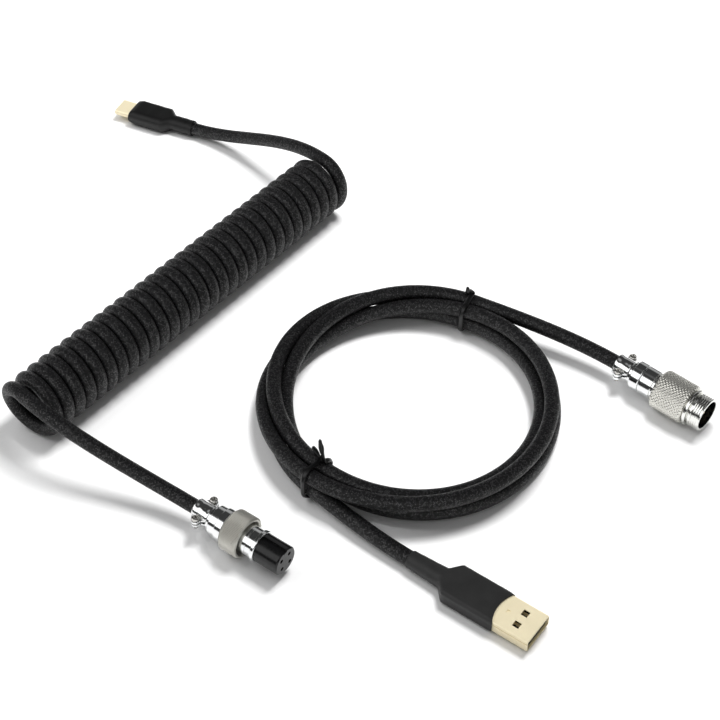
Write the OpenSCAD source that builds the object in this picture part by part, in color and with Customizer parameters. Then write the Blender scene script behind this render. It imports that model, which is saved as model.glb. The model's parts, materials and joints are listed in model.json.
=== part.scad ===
// Two-part coiled keyboard cable. The coiled half ends in a USB-C plug and a
// four-way screw-locking plug. The straight half ends in the matching in-line
// socket and a USB-A plug, and lies in a tied loop beside the coil.
// The frame: +X right, +Y away, +Z up, origin on the desk below the set's centre.

/* [Coiled cord] */
// Diameter of the braided cord of the coiled half
coil_cord_d = 4.75; // [4.6:0.05:4.8]
// Outside diameter of the coil
coil_od = 22.6; // [22:0.1:24]
// Distance from one turn to the next
coil_pitch = 4.85; // [4.83:0.01:4.9]
// Number of turns
coil_turns = 30; // [28:1:30]
// Extra room that each end turn leaves beside its neighbour
coil_end_gap = 1.2; // [1:0.1:1.5]
// X of the coil's end beside the screw-locking plug
coil_x = -105.5; // [-106:0.5:-105]
// Y of the coil's end beside the screw-locking plug
coil_y = -44; // [-45:0.5:-43]
// Direction of the coil's axis, in degrees from +X
coil_heading = 50.8; // [50:0.1:52]

/* [Straight cord] */
// Diameter of the braided cord of the straight half
cord_d = 4.95; // [4.8:0.05:5]
// Radius of the tied loop, to the middle of its bundle
loop_r = 45.05; // [44.5:0.05:46]
// X of the loop's centre
loop_x = 17.3; // [17:0.1:18]
// Y of the loop's centre
loop_y = -34.6; // [-35:0.1:-34]
// Distance between neighbouring strands of the bundle
strand_gap = 5.15; // [5.1:0.01:5.2]
// Angle round the loop where the socket's lead leaves
loop_start = 62; // [61:0.5:63]
// Angle round the loop where the USB-A lead leaves
loop_end = 226; // [225:0.5:227]

/* [Cord build] */
// Wall of the braided sleeve
sleeve_wall = 0.45; // [0.4:0.05:0.5]
// Clearance between the sleeve and the cable inside it, on diameter
sleeve_fit = 0.1; // [0.08:0.01:0.15]
// Wire thickness of the twist ties
tie_d = 1.2; // [1:0.1:1.3]

/* [Screw-locking pair] */
// Outside diameter of the coupling nut and of the knurled barrel
grip_d = 13.6; // [13.5:0.1:14]
// Outside diameter of the screw thread that the coupling nut runs on
thread_d = 11.8; // [11.7:0.05:11.9]
// Length of the threaded nose
thread_l = 5; // [4.9:0.1:5.1]
// Length of the coupling nut
nut_l = 6.8; // [6.6:0.1:7]
// Diameter of the plug's insert, where it enters the socket
insert_d = 9.4; // [9.2:0.05:9.4]
// Length of the insert in front of the plug's flange
insert_l = 8.7; // [8.4:0.1:8.7]
// Number of contacts
contacts = 4; // [3:1:4]
// Radius of the circle that the contacts stand on
contact_circle_r = 2.6; // [2.5:0.05:2.65]
// Diameter of one contact pin
pin_d = 1; // [0.9:0.05:1]

/* [USB plugs] */
// Width of the USB-A shell
usb_a_w = 12; // [11.95:0.05:12.05]
// Height of the USB-A shell
usb_a_h = 4.5; // [4.45:0.05:4.55]
// Length of USB-A shell that shows
usb_a_out = 11.75; // [11.5:0.05:12]
// Width of the USB-C shell
usb_c_w = 8.25; // [8.2:0.05:8.3]
// Height of the USB-C shell
usb_c_h = 2.4; // [2.38:0.01:2.42]
// Length of USB-C shell that shows
usb_c_out = 6.65; // [6.5:0.05:6.7]

/* [Hidden] */
$fn = 64;

// Where each connector's own x axis starts, and which way it points
plug_at = [-49.1, -80.1, grip_d / 2];
plug_heading = -36;
socket_at = [85.6, -19.3, grip_d / 2];
socket_heading = -41.3;
usb_a_at = [15, -96.1, 3.1];
usb_a_heading = -36.3;
usb_c_at = [-64.5, 110, 3.15];
usb_c_heading = 155.4;

// Cord sizes as radii: outside, sleeve bore and inner cable
coil_cord_r = coil_cord_d / 2;
coil_bore_r = coil_cord_r - sleeve_wall;
coil_core_r = coil_bore_r - sleeve_fit / 2;
cord_r = cord_d / 2;
bore_r = cord_r - sleeve_wall;
core_r = bore_r - sleeve_fit / 2;
cord_sides = 8;

// Coil: the centreline runs at coil_r round an axis at height coil_od / 2
coil_r = (coil_od - coil_cord_d) / 2;
coil_axis_z = coil_od / 2;

// Loop: four strands at the corners of a square that turns as it goes round
bundle_r = strand_gap / sqrt(2);
tie_r = tie_d / 2;
tie_fit = 0.17;
tie_corner_r = cord_r + tie_fit + tie_r;
bundle_z = strand_gap / 2 + tie_corner_r + tie_r + 0.07;
loop_span = loop_end - loop_start;
loop_mid = (loop_start + loop_end) / 2;
// Whole turns besides the part turn between the two leads
loop_turns = 3;
twist_rate = 0.75;
start_phase = 45;
twist_total = twist_rate * (loop_span + 360 * loop_turns);
// The strand starts on the bundle's outer top corner and ends on its outer lower
// one, so a wave is added to the steady twist to land it there.
twist_short = 270 - (twist_total - 360 * floor(twist_total / 360));
twist_wave = twist_short / (2 * sin(loop_span / 2));
loop_step = 12;
tie_inset = 3;

// Where the parts of the screw-locking pair meet, along its axis
shell_x0 = 6;
clamp_x0 = 1;
clamp_x1 = 5.4;
screw_x = 3.5;
screw_y = 4.4;
plug_rim_x = 9.8;
plug_neck_x = 12.2;
flange_x = 23.6;
plug_face_x = 24.8;
plug_tip_x = plug_face_x + insert_l;
neck_d = 9.5;
flange_d = 10.6;
nut_x = 12.6;
nut_lip = 1.8;
running_gap = 0.07;
coupler_x = 10.4;
knurl_x = 16.1;
ring_x = 28.2;
nose_x = 29.4;
socket_tip_x = nose_x + thread_l;
spigot_d = 8.5;
thread_fit = 0.1;
wire_d = 0.9;
// Solder cups of the plug's and the socket's contacts
plug_cup_x = 11.4;
plug_cup_end = 14;
socket_cup_x = knurl_x - 0.2;
socket_cup_end = knurl_x + 1.9;
plug_grub_x = 17.5;
socket_grub_x = 21;

// USB-A, along its own axis
usb_a_neck_l = 11.2;
usb_a_body_x = 15.4;
usb_a_face_x = 33.3;
usb_a_neck_d = 5.7;
usb_a_body_w = 13;
usb_a_body_h = 6.2;
usb_a_edge_r = 1.5;
usb_a_wall = 0.4;
usb_a_shell_x = 26;
usb_a_tip_x = usb_a_face_x + usb_a_out;
usb_a_skin = 0.3;

// USB-C, along its own axis
usb_c_neck_l = 9;
usb_c_body_x = 12;
usb_c_face_x = 26.4;
usb_c_neck_d = 6.1;
usb_c_body_w = 11;
usb_c_body_h = 6.3;
usb_c_edge_r = 2.6;
usb_c_wall = 0.6;
usb_c_shell_x = 23.5;
usb_c_tip_x = usb_c_face_x + usb_c_out;
usb_c_skin = 0.2;

black = [0.09, 0.09, 0.1];
nickel = [0.66, 0.66, 0.62];
chrome = [0.85, 0.86, 0.87];
gold = [0.88, 0.79, 0.55];
brass = [0.8, 0.66, 0.32];

// ---- paths ----

function unit(v) = v / norm(v);
function toward(a) = [cos(a), sin(a), 0];

// A path is a list of [point, direction, up]. This is a point of a lead: a smooth
// curve from p to q that leaves p along t and reaches q along u.
up = [0, 0, 1];
function lead_point(p, t, q, u, s) = [
    (2 * s ^ 3 - 3 * s ^ 2 + 1) * p + (s ^ 3 - 2 * s ^ 2 + s) * t
        + (3 * s ^ 2 - 2 * s ^ 3) * q + (s ^ 3 - s ^ 2) * u,
    unit((6 * s ^ 2 - 6 * s) * p + (3 * s ^ 2 - 4 * s + 1) * t
        + (6 * s - 6 * s ^ 2) * q + (3 * s ^ 2 - 2 * s) * u),
    up
];
lead_steps = 10;
function lead(p, t, q, u) = let (pull = norm(q - p))
    [for (i = [0:lead_steps]) lead_point(p, pull * t, q, pull * u, i / lead_steps)];

// A lead that goes on straight for some way inside its connector
function lead_into(p, t, at, heading, inside) = concat(
    lead(p, t, at, toward(heading)),
    [[at + inside * toward(heading), toward(heading), up]]
);

// The strand's turn about the bundle's middle at angle a round the loop
function twist_at(a) = start_phase + twist_rate * (a - loop_start)
    + twist_wave * (sin(a - loop_mid) + sin(loop_span / 2));
function strand(a) = let (w = twist_at(a), r = loop_r + bundle_r * cos(w))
    [loop_x + r * cos(a), loop_y + r * sin(a), bundle_z + bundle_r * sin(w)];
function strand_dir(a) = unit(strand(a + 0.5) - strand(a - 0.5));
loop_last = loop_end + 360 * loop_turns;
loop_count = ceil((loop_last - loop_start) / loop_step);
function loop_path() = [for (i = [0:loop_count])
    let (a = loop_start + (loop_last - loop_start) * i / loop_count)
    [strand(a), strand_dir(a), up]];

// The coil's centreline at turn t, counted from the plug's end. It starts and ends
// on top, and each end turn stands off from its neighbour.
function coil_along(t) = coil_pitch * t
    - coil_end_gap * max(0, 1 - t) ^ 2
    + coil_end_gap * max(0, t - coil_turns + 1) ^ 2;
coil_axis = toward(coil_heading);
coil_left = toward(coil_heading + 90);
function coil_out(t) = cos(360 * t) * up + sin(360 * t) * coil_left;
function coil_point(t) = [coil_x, coil_y, coil_axis_z]
    + coil_along(t) * coil_axis + coil_r * coil_out(t);
function coil_dir(t) = unit(coil_point(t + 0.001) - coil_point(t - 0.001));
coil_steps = 10;
function coil_path() = [for (i = [0:coil_turns * coil_steps])
    let (t = i / coil_steps)
    [coil_point(t), coil_dir(t), coil_out(t)]];

function plug_lead(inside) = lead_into(coil_point(0), -coil_dir(0),
    plug_at, plug_heading, inside);
function usb_c_lead(inside) = lead_into(coil_point(coil_turns), coil_dir(coil_turns),
    usb_c_at, usb_c_heading, inside);
function socket_lead(inside) = lead_into(strand(loop_start), -strand_dir(loop_start),
    socket_at, socket_heading, inside);
function usb_a_lead(inside) = lead_into(strand(loop_last), strand_dir(loop_last),
    usb_a_at, usb_a_heading, inside);

// ---- shapes ----

function ring(e, r) = let (side = unit(cross(e[1], e[2])), over = cross(side, e[1]))
    [for (k = [0:cord_sides - 1]) let (w = 360 * k / cord_sides)
        e[0] + r * (cos(w) * side + sin(w) * over)];

// A rod of radius r along a path
module swept_rod(path, r) {
    m = cord_sides;
    n = len(path);
    points = [for (e = path) each ring(e, r)];
    sides = [for (i = [0:n - 2], k = [0:m - 1])
        let (a = i * m + k, b = i * m + (k + 1) % m)
        each [[a, b, b + m], [a, b + m, a + m]]];
    ends = [[for (k = [m - 1:-1:0]) k], [for (k = [0:m - 1]) (n - 1) * m + k]];
    polyhedron(points, concat(sides, ends));
}

// A tube along such a path
module swept_tube(path, r_out, r_in) {
    m = cord_sides;
    n = len(path);
    points = [for (e = path) each concat(ring(e, r_out), ring(e, r_in))];
    skins = [for (i = [0:n - 2], k = [0:m - 1])
        let (j = (k + 1) % m, a = 2 * m * i + k, b = 2 * m * i + j, s = 2 * m)
        each [[a, b, b + s], [a, b + s, a + s],
            [a + m, b + m + s, b + m], [a + m, a + m + s, b + m + s]]];
    z = 2 * m * (n - 1);
    ends = [for (k = [0:m - 1]) let (j = (k + 1) % m)
        each [[k, k + m, j + m, j], [z + k, z + j, z + j + m, z + k + m]]];
    polyhedron(points, concat(skins, ends));
}

// Puts a connector's own frame in its place
module place(at, heading) {
    translate(at) rotate([0, 0, heading]) children();
}
module in_plug() place(plug_at, plug_heading) children();
module in_socket() place(socket_at, socket_heading) children();
module in_usb_a() place(usb_a_at, usb_a_heading) children();
module in_usb_c() place(usb_c_at, usb_c_heading) children();

// A cylinder along x from x0 to x1
module xcyl(x0, x1, d) {
    translate([x0, 0, 0]) rotate([0, 90, 0]) cylinder(h = x1 - x0, d = d);
}
// A cone along x, for chamfers
module xcone(x0, x1, d0, d1) {
    translate([x0, 0, 0]) rotate([0, 90, 0]) cylinder(h = x1 - x0, d1 = d0, d2 = d1);
}
module xtube(x0, x1, d, bore) {
    difference() {
        xcyl(x0, x1, d);
        xcyl(x0 - 1, x1 + 1, bore);
    }
}
// An outline w wide and h high with corners of radius r
module rounded_rect(w, h, r) {
    square([w - 2 * r, h], center = true);
    square([w, h - 2 * r], center = true);
    for (x = [-1, 1], y = [-1, 1]) translate([x * (w / 2 - r), y * (h / 2 - r)]) circle(r);
}
// A rounded bar along x: w wide in y and h high in z
module xbar(x0, x1, w, h, r) {
    translate([x0, 0, 0]) rotate([90, 0, 90]) linear_extrude(x1 - x0) rounded_rect(w, h, r);
}
module box(x0, x1, w, z0, z1, y = 0) {
    translate([x0, y - w / 2, z0]) cube([x1 - x0, w, z1 - z0]);
}
// Puts children on the contact circle, the first one at the top corner
module on_contact_circle() {
    for (i = [0:contacts - 1]) rotate([45 + 360 * i / contacts, 0, 0])
        translate([0, contact_circle_r, 0]) children();
}
// A straight piece of wire from p to q
module wire_run(p, q, d) {
    v = q - p;
    turn = atan2(v[1], v[0]);
    tilt = acos(v[2] / norm(v));
    translate(p) rotate([0, tilt, turn]) cylinder(h = norm(v), d = d);
}
// A wire that runs from p to q, bends there and runs on to r
module bent_wire(p, q, r, d) {
    u = unit(q - p);
    v = unit(r - q);
    swept_rod([[p, u, up], [q, unit(u + v), up], [r, v, up]], d / 2);
}

// ---- cord ----

module coil_sleeve() color(black) swept_tube(coil_path(), coil_cord_r, coil_bore_r);
module coil_core() color(black) swept_rod(coil_path(), coil_core_r);

sleeve_inside = 4.9;
core_inside = 7.6;
module plug_lead_sleeve() {
    color(black) swept_tube(plug_lead(sleeve_inside), coil_cord_r, coil_bore_r);
}
module plug_lead_core() color(black) swept_rod(plug_lead(core_inside), coil_core_r);

usb_c_sleeve_inside = 11.4;
usb_c_core_inside = 14.3;
module usb_c_lead_sleeve() {
    color(black) swept_tube(usb_c_lead(usb_c_sleeve_inside), coil_cord_r, coil_bore_r);
}
module usb_c_lead_core() color(black) swept_rod(usb_c_lead(usb_c_core_inside), coil_core_r);

module loop_sleeve() color(black) swept_tube(loop_path(), cord_r, bore_r);
module loop_core() color(black) swept_rod(loop_path(), core_r);

module socket_lead_sleeve() {
    color(black) swept_tube(socket_lead(sleeve_inside), cord_r, bore_r);
}
module socket_lead_core() color(black) swept_rod(socket_lead(core_inside), core_r);

usb_a_sleeve_inside = 14.6;
usb_a_core_inside = 18.2;
module usb_a_lead_sleeve() {
    color(black) swept_tube(usb_a_lead(usb_a_sleeve_inside), cord_r, bore_r);
}
module usb_a_lead_core() color(black) swept_rod(usb_a_lead(usb_a_core_inside), core_r);

// ---- twist ties ----

// A wire wound once round the four strands, whose two ends stand up side by side.
// turn is 1 where they stand over the bundle's inner corner, -1 over its outer one.
tie_lean = 0.75;
tie_arc_steps = 4;
module tie(a, turn, ends) {
    skew = (twist_at(a) - start_phase) % 90;
    base = 90 + (skew > 45 ? skew - 90 : skew);
    per_corner = tie_arc_steps + 1;
    n = 4 * per_corner;
    round = [for (m = [0:n])
        let (q = floor(m / per_corner), j = m % per_corner,
            w = base + turn * 90 * (q + j / tie_arc_steps), c = base + turn * (90 * q + 45))
        [bundle_r * cos(c) + tie_corner_r * cos(w), tie_lean * (1 - 2 * m / n),
            bundle_r * sin(c) + tie_corner_r * sin(w)]];
    points = concat([round[0] + ends[0]], round, [round[n] + ends[1]]);
    last = len(points) - 1;
    path = [for (i = [0:last])
        [points[i], unit(points[min(i + 1, last)] - points[max(i - 1, 0)]), [0, 1, 0]]];
    translate([loop_x + loop_r * cos(a), loop_y + loop_r * sin(a), bundle_z])
        rotate([0, 0, a]) swept_rod(path, tie_r);
}
module loop_tie_front() {
    color(black) tie(loop_end - tie_inset, 1, [[-1.6, 0.5, 5.2], [0.6, -1.1, 3.2]]);
}
module loop_tie_rear() {
    color(black) tie(loop_start + tie_inset, -1, [[1.2, 0.4, 1.6], [0.8, -0.4, 1]]);
}

// ---- parts that the screw-locking plug and socket share ----

clamp_r = cord_r + 0.12;
ear_l = 3.2;
ear_w = 2.6;
ear_y = 4.3;
ear_z = 0.25;
ear_t = 1.2;
module ear_holes(d) {
    for (y = [-screw_y, screw_y]) translate([screw_x, y, -4]) cylinder(h = 8, d = d, $fn = 32);
}
// The saddle half that is one piece with the shell. side is -1 below, 1 above.
module saddle(x0, x1, side, hole_d) {
    difference() {
        union() {
            intersection() {
                xtube(x0, x1, 2 * clamp_r + 1.8, 2 * clamp_r);
                box(x0 - 1, x1 + 1, 12, side < 0 ? -6 : ear_z, side < 0 ? -ear_z : 6);
            }
            for (y = [-ear_y, ear_y])
                box(screw_x - ear_l / 2, screw_x + ear_l / 2, ear_w,
                    side < 0 ? -ear_z - ear_t : ear_z, side < 0 ? -ear_z : ear_z + ear_t, y);
        }
        xcyl(x0 - 1, x1 + 1, 2 * clamp_r);
        ear_holes(hole_d);
    }
}
module back_shell_body(x_end, d) {
    difference() {
        union() {
            saddle(clamp_x0, shell_x0 + 0.5, -1, 1.7);
            xcyl(shell_x0, x_end, d);
        }
        xcyl(shell_x0 + 1.2, x_end + 1, spigot_d + thread_fit);
        xcyl(-1, x_end, 2 * clamp_r);
    }
}
screw_head_d = 2.3;
module clamp_screw_pair() {
    for (y = [-screw_y, screw_y]) translate([screw_x, y, 0]) difference() {
        union() {
            translate([0, 0, -2.6]) cylinder(h = 2.6 + ear_z + ear_t, d = 1.6, $fn = 32);
            translate([0, 0, ear_z + ear_t]) cylinder(h = 0.9, d = screw_head_d, $fn = 32);
        }
        for (w = [0, 90]) rotate([0, 0, w])
            translate([-0.8, -0.15, ear_z + ear_t + 0.4]) cube([1.6, 0.3, 1]);
    }
}
module wire_bundle(x_from, x_to) {
    for (i = [0:contacts - 1]) rotate([45 + 360 * i / contacts, 0, 0])
        bent_wire([x_from + 0.35, 1, 0], [x_to - 2.3, contact_circle_r, 0],
            [x_to, contact_circle_r, 0], wire_d);
}

// ---- screw-locking plug ----

module plug_back_shell() {
    color(chrome) in_plug() {
        back_shell_body(plug_rim_x, 10);
        xtube(plug_rim_x, plug_neck_x - 0.05, 10.9, spigot_d + thread_fit);
    }
}
module plug_clamp_bar() color(chrome) in_plug() saddle(clamp_x0 + 0.3, clamp_x1, 1, 1.9);
module plug_clamp_screws() color(chrome) in_plug() clamp_screw_pair();

barrel_bore_d = 8;
module plug_barrel() {
    color(chrome) in_plug() difference() {
        union() {
            xcyl(9.6, plug_neck_x, spigot_d);
            xcyl(plug_neck_x, flange_x, neck_d);
            xcyl(flange_x, plug_face_x - 0.3, flange_d);
            xcone(plug_face_x - 0.3, plug_face_x, flange_d, flange_d - 0.5);
        }
        xcyl(9, plug_face_x + 1, barrel_bore_d);
        translate([plug_grub_x, 0, 0]) cylinder(h = 8, d = 1.7, $fn = 32);
    }
}
module plug_grub_screw() {
    color(nickel) in_plug() translate([plug_grub_x, 0, barrel_bore_d / 2]) difference() {
        cylinder(h = 0.68, d = 1.6, $fn = 32);
        translate([-1, -0.15, 0.4]) cube([2, 0.3, 1]);
    }
}

nut_bore_d = thread_d - 0.95;
module coupling_nut() {
    end = nut_x + nut_l;
    color(nickel) in_plug() difference() {
        union() {
            xcone(nut_x, nut_x + 0.4, grip_d - 0.8, grip_d);
            xcyl(nut_x + 0.4, end - 0.4, grip_d);
            xcone(end - 0.4, end, grip_d, grip_d - 0.8);
        }
        xcyl(nut_x - 1, end + 1, neck_d + 2 * running_gap);
        xcyl(nut_x + nut_lip, end + 1, nut_bore_d);
        xcone(end - 0.5, end + 0.01, nut_bore_d, nut_bore_d + 1);
    }
}
// The split ring that holds the nut's lip square on the barrel
module nut_snap_ring() {
    x0 = nut_x + nut_lip + 0.05;
    color(nickel) in_plug() difference() {
        xtube(x0, x0 + 0.8, nut_bore_d - 0.14, neck_d + 2 * running_gap);
        box(x0 - 1, x0 + 2, 3, 3, 8);
    }
}

plug_hole_d = 1.7;
module plug_insert() {
    color([0.03, 0.03, 0.03]) in_plug() difference() {
        union() {
            xcyl(14, plug_face_x + 0.05, barrel_bore_d - 0.1);
            xcyl(plug_face_x + 0.05, plug_tip_x - 0.4, insert_d);
            xcone(plug_tip_x - 0.4, plug_tip_x, insert_d, insert_d - 0.8);
        }
        on_contact_circle() xcyl(13, plug_tip_x - 0.8, plug_hole_d);
        on_contact_circle() xcyl(plug_tip_x - 1, plug_tip_x + 1, pin_d + 0.3);
        box(plug_face_x + 0.05, plug_tip_x + 1, 1.6, insert_d / 2 - 0.9, insert_d);
    }
}
module plug_contacts() {
    color(brass) in_plug() on_contact_circle() difference() {
        xcyl(plug_cup_x, plug_tip_x - 1, plug_hole_d - 0.1);
        xcyl(plug_cup_x - 1, plug_cup_end, wire_d + 0.1);
        xcyl(26, plug_tip_x, pin_d + 0.06);
    }
}
module plug_wires() color([0.7, 0.15, 0.12]) in_plug() wire_bundle(core_inside, plug_cup_end - 0.5);

// ---- screw-locking socket ----

module socket_back_shell() color(chrome) in_socket() back_shell_body(coupler_x - 0.05, 10.2);
module socket_clamp_bar() color(chrome) in_socket() saddle(clamp_x0 + 0.3, clamp_x1, 1, 1.9);
module socket_clamp_screws() color(chrome) in_socket() clamp_screw_pair();
module socket_coupler() {
    color(chrome) in_socket() difference() {
        union() {
            xcyl(8.2, coupler_x + 0.1, spigot_d);
            xcyl(coupler_x, knurl_x - 0.05, 10.5);
            xcyl(knurl_x - 0.1, knurl_x + 2.3, spigot_d);
        }
        xcyl(8, knurl_x + 3, 7.3);
    }
}

cavity_x = 25.6;
socket_insert_d = 8.2;
module socket_barrel() {
    color(nickel) in_socket() difference() {
        union() {
            xcone(knurl_x, knurl_x + 0.5, grip_d - 1, grip_d);
            xcyl(knurl_x + 0.5, ring_x - 0.5, grip_d);
            xcone(ring_x - 0.5, ring_x, grip_d, grip_d - 1);
            xcyl(ring_x, nose_x, thread_d + 0.9);
            xcyl(nose_x - 0.1, socket_tip_x, thread_d);
        }
        xcyl(knurl_x - 1, knurl_x + 2.5, spigot_d + thread_fit);
        xcyl(knurl_x + 2, cavity_x, socket_insert_d);
        xcyl(cavity_x, socket_tip_x + 1, insert_d + 0.2);
        translate([socket_grub_x, 0, -8]) cylinder(h = 8, d = 1.7, $fn = 32);
    }
}
module socket_grub_screw() {
    color(nickel) in_socket() translate([socket_grub_x, 0, -6.6]) difference() {
        cylinder(h = 6.6 - socket_insert_d / 2, d = 1.6, $fn = 32);
        translate([-1, -0.15, -0.1]) cube([2, 0.3, 0.5]);
    }
}
socket_hole_d = 1.5;
module socket_insert() {
    color([0.03, 0.03, 0.03]) in_socket() difference() {
        xcyl(knurl_x + 2.6, cavity_x, socket_insert_d - 0.1);
        on_contact_circle() xcyl(knurl_x, cavity_x + 1, socket_hole_d);
    }
}
module socket_pins() {
    color(brass) in_socket() on_contact_circle() difference() {
        union() {
            xcyl(socket_cup_x, cavity_x, socket_hole_d - 0.1);
            xcyl(cavity_x - 0.1, socket_tip_x - 2.4, pin_d);
            translate([socket_tip_x - 2.4, 0, 0]) sphere(d = pin_d);
        }
        xcyl(socket_cup_x - 1, socket_cup_end, wire_d + 0.1);
    }
}
module socket_wires() color([0.7, 0.15, 0.12]) in_socket() wire_bundle(core_inside, socket_cup_end - 0.5);

// ---- USB-A plug ----

// The curved edge where the heat-shrink stops on the shell
shrink_arc_r = 20;
module usb_a_shrink_edge() {
    translate([usb_a_face_x + shrink_arc_r - 1.1, 0, -6]) cylinder(h = 12, r = shrink_arc_r);
}
// Outside or inside of a heat-shrink boot: a round neck from x0 on, d0 thick at first
// and d1 at its end, that opens out over a flat body
module boot(x0, d0, d1, neck_l, body_x, face_x, w, h, r) {
    xcone(x0, neck_l, d0, d1);
    hull() {
        xcyl(neck_l - 0.05, neck_l, d1, $fn = 32);
        xbar(body_x, body_x + 0.05, w, h, r, $fn = 32);
    }
    xbar(body_x, face_x, w, h, r);
}
module usb_a_heat_shrink() {
    t = usb_a_wall;
    color([0.16, 0.16, 0.16]) in_usb_a() difference() {
        boot(0, usb_a_neck_d, usb_a_body_h, usb_a_neck_l, usb_a_body_x, usb_a_face_x,
            usb_a_body_w, usb_a_body_h, usb_a_edge_r);
        boot(-1, cord_d + 0.2, cord_d + 0.2, usb_a_neck_l + 0.8, usb_a_body_x + 0.3,
            usb_a_face_x + 1, usb_a_body_w - 2 * t, usb_a_body_h - 2 * t, usb_a_edge_r - t);
        usb_a_shrink_edge();
    }
}
usb_a_house_w = usb_a_body_w - 2 * usb_a_wall - 0.1;
usb_a_house_h = usb_a_body_h - 2 * usb_a_wall - 0.1;
module usb_a_housing() {
    color([0.2, 0.2, 0.2]) in_usb_a() difference() {
        xbar(16, usb_a_shell_x - 0.05, usb_a_house_w, usb_a_house_h, 1);
        xcyl(15, 19, 2 * core_r + 0.2);
        box(18.4, usb_a_shell_x, 11.3, -2, 2);
    }
}
module usb_a_shell() {
    s = usb_a_skin;
    color(gold) in_usb_a() difference() {
        xbar(usb_a_shell_x, usb_a_tip_x, usb_a_w, usb_a_h, 0.7);
        xbar(usb_a_shell_x - 1, usb_a_tip_x + 1, usb_a_w - 2 * s, usb_a_h - 2 * s, 0.4);
        for (y = [-2.35, 2.35]) box(usb_a_tip_x - 7, usb_a_tip_x - 4.9, 2.1, -4, 4, y);
        box(usb_a_face_x + 1.2, usb_a_face_x + 2.2, 1.3, usb_a_h / 2 - 0.12, 4);
    }
}
usb_a_contact_y = [-3.5, -1, 1, 3.5];
module usb_a_tongue() {
    color([0.05, 0.05, 0.05]) in_usb_a() {
        box(24.4, usb_a_tip_x - 0.7, 11, -1.85, -0.05);
        box(24.4, 30, 11, 0.2, 1.85);
        for (y = [-5.1, 5.1]) box(24.4, 30, 0.8, -0.1, 0.25, y);
    }
}
module usb_a_contacts() {
    color(gold) in_usb_a() for (y = usb_a_contact_y)
        box(23, usb_a_tip_x - (abs(y) > 2 ? 1.4 : 2.4), 1, -0.05, 0.15, y);
}
module usb_a_wires() {
    z = 0.62;
    color([0.7, 0.15, 0.12]) in_usb_a() for (y = usb_a_contact_y)
        wire_run([usb_a_core_inside + 0.5, y / 2, z], [24, y, z], wire_d);
}

// ---- USB-C plug ----

module usb_c_heat_shrink() {
    t = usb_c_wall;
    color([0.07, 0.07, 0.07]) in_usb_c() difference() {
        boot(0, usb_c_neck_d, usb_c_neck_d, usb_c_neck_l, usb_c_body_x, usb_c_face_x,
            usb_c_body_w, usb_c_body_h, usb_c_edge_r);
        boot(-1, coil_cord_d + 0.2, coil_cord_d + 0.2, usb_c_neck_l + 0.8, usb_c_body_x + 0.3,
            usb_c_face_x + 1, usb_c_body_w - 2 * t, usb_c_body_h - 2 * t, usb_c_edge_r - t);
    }
}
module usb_c_housing() {
    color([0.2, 0.2, 0.2]) in_usb_c() difference() {
        xbar(12.6, usb_c_face_x - 0.2, usb_c_body_w - 2 * usb_c_wall - 0.1,
            usb_c_body_h - 2 * usb_c_wall - 0.1, 1.9);
        xcyl(12, 15, 2 * coil_core_r + 0.2);
        box(14.4, usb_c_shell_x, 8.6, -1.8, 1.8);
        xbar(usb_c_shell_x - 0.05, usb_c_face_x, usb_c_w + 0.1, usb_c_h + 0.1, 1.2);
    }
}
module usb_c_shell() {
    s = usb_c_skin;
    color(gold) in_usb_c() difference() {
        xbar(usb_c_shell_x, usb_c_tip_x, usb_c_w, usb_c_h, 1.15);
        xbar(usb_c_shell_x - 1, usb_c_tip_x + 1, usb_c_w - 2 * s, usb_c_h - 2 * s, 0.95);
    }
}
usb_c_slot_h = 0.95;
module usb_c_insert() {
    color([0.05, 0.05, 0.05]) in_usb_c() difference() {
        xbar(23, usb_c_tip_x - 0.4, 7.75, 1.92, 0.9);
        box(22, usb_c_tip_x, 6.75, -usb_c_slot_h / 2, usb_c_slot_h / 2);
    }
}
module usb_c_contacts() {
    color(gold) in_usb_c() for (i = [0:11], side = [-1, 1])
        translate([0, (i - 5.5) * 0.5, side * (usb_c_slot_h / 2 - 0.06)])
            box(21.8, usb_c_tip_x - 1.2, 0.25, -0.06, 0.06);
}
board_t = 0.64;
module usb_c_board() {
    color([0.05, 0.3, 0.15]) in_usb_c() {
        box(15.2, 21.6, 8.2, -board_t / 2, board_t / 2);
        box(21.6, 24.6, 6.4, -board_t / 2, board_t / 2);
    }
}
module usb_c_wires() {
    d = 0.8;
    color([0.7, 0.15, 0.12]) in_usb_c() for (y = [-1, 1], z = [-1, 1]) {
        h = z * (board_t + d) / 2;
        bent_wire([usb_c_core_inside + 0.3, 0.6 * y, h], [16.4, 1.8 * y, h], [18.6, 1.8 * y, h], d);
    }
}

coil_sleeve();
coil_core();
usb_c_lead_sleeve();
usb_c_lead_core();
plug_lead_sleeve();
plug_lead_core();
usb_c_shell();
usb_c_insert();
usb_c_contacts();
usb_c_board();
usb_c_wires();
usb_c_housing();
usb_c_heat_shrink();
plug_back_shell();
plug_clamp_bar();
plug_clamp_screws();
plug_barrel();
coupling_nut();
nut_snap_ring();
plug_insert();
plug_contacts();
plug_wires();
plug_grub_screw();
loop_sleeve();
loop_core();
socket_lead_sleeve();
socket_lead_core();
usb_a_lead_sleeve();
usb_a_lead_core();
loop_tie_front();
loop_tie_rear();
socket_back_shell();
socket_clamp_bar();
socket_clamp_screws();
socket_coupler();
socket_barrel();
socket_insert();
socket_pins();
socket_wires();
socket_grub_screw();
usb_a_shell();
usb_a_tongue();
usb_a_contacts();
usb_a_wires();
usb_a_housing();
usb_a_heat_shrink();
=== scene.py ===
import json
import math

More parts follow.
